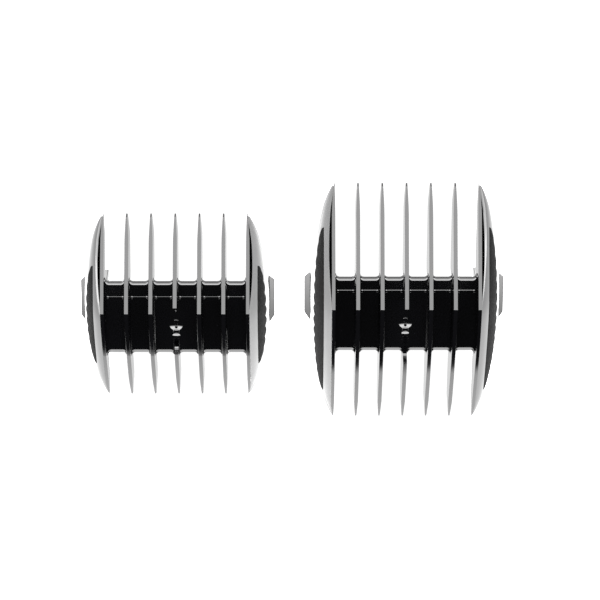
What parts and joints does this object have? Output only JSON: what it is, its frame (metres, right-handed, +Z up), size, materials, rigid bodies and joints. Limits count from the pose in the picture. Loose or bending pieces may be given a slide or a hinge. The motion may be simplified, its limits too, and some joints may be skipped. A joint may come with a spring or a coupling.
{
  "type": "hair clipper attachment combs",
  "caption": "Set of a small and a large double-ended attachment comb for a hair clipper, glossy black, each with snap arms that clip over the blade head.",
  "frame": {"origin": "on the surface that the combs stand on, midway between them and midway along their teeth", "axes": "+X across the teeth, from the small comb to the large one; +Y along the teeth, towards the end where the plate slopes; +Z up, towards the skin side"},
  "size_m": [0.116, 0.0686, 0.0218],
  "materials": {
    "gloss_black": "polished injection-moulded ABS",
    "grip_plastic": "fine spark-eroded texture with scalloped edge"
  },
  "bodies": {
    "small_comb": {"small_comb_plate": "gloss_black", "small_comb_tooth_2": "gloss_black", "small_comb_tooth_3": "gloss_black", "small_comb_middle_tooth_front": "gloss_black", "small_comb_middle_tooth_rear": "gloss_black", "small_comb_tooth_5": "gloss_black", "small_comb_tooth_6": "gloss_black", "small_comb_side_tooth_right": "gloss_black", "small_comb_side_tooth_left": "gloss_black", "small_comb_cheek_right": "gloss_black", "small_comb_cheek_left": "gloss_black", "small_comb_grip_right": "grip_plastic", "small_comb_grip_left": "grip_plastic", "small_comb_side_wall_right": "gloss_black", "small_comb_side_wall_left": "gloss_black"},
    "small_comb_arm_right": {"small_comb_snap_arm_right": "gloss_black"},
    "small_comb_arm_left": {"small_comb_snap_arm_left": "gloss_black"},
    "large_comb": {"large_comb_plate": "gloss_black", "large_comb_tooth_2": "gloss_black", "large_comb_tooth_3": "gloss_black", "large_comb_middle_tooth_front": "gloss_black", "large_comb_middle_tooth_rear": "gloss_black", "large_comb_tooth_5": "gloss_black", "large_comb_tooth_6": "gloss_black", "large_comb_side_tooth_right": "gloss_black", "large_comb_side_tooth_left": "gloss_black", "large_comb_cheek_right": "gloss_black", "large_comb_cheek_left": "gloss_black", "large_comb_grip_right": "grip_plastic", "large_comb_grip_left": "grip_plastic", "large_comb_side_wall_right": "gloss_black", "large_comb_side_wall_left": "gloss_black"},
    "large_comb_arm_right": {"large_comb_snap_arm_right": "gloss_black"},
    "large_comb_arm_left": {"large_comb_snap_arm_left": "gloss_black"}
  },
  "joints": [
    {"name": "small_comb_right_snap", "type": "hinge", "parent": "small_comb", "child": "small_comb_arm_right", "pos_m": [-0.0118, -0.0006, 0.01065], "axis": [0, -1, 0], "range_deg": [0, 7], "stiffness_Nm_per_rad": 0.35},
    {"name": "small_comb_left_snap", "type": "hinge", "parent": "small_comb", "child": "small_comb_arm_left", "pos_m": [-0.051, -0.0006, 0.01065], "axis": [0, 1, 0], "range_deg": [0, 7], "stiffness_Nm_per_rad": 0.35},
    {"name": "large_comb_right_snap", "type": "hinge", "parent": "large_comb", "child": "large_comb_arm_right", "pos_m": [0.0502, 0, 0.01065], "axis": [0, -1, 0], "range_deg": [0, 7], "stiffness_Nm_per_rad": 0.35},
    {"name": "large_comb_left_snap", "type": "hinge", "parent": "large_comb", "child": "large_comb_arm_left", "pos_m": [0.011, 0, 0.01065], "axis": [0, 1, 0], "range_deg": [0, 7], "stiffness_Nm_per_rad": 0.35},
    {"name": "large_comb_place", "type": "slide", "parent": "small_comb", "child": "large_comb", "axis": [1, 0, 0], "range_m": [0, 0.05]}
  ]
}
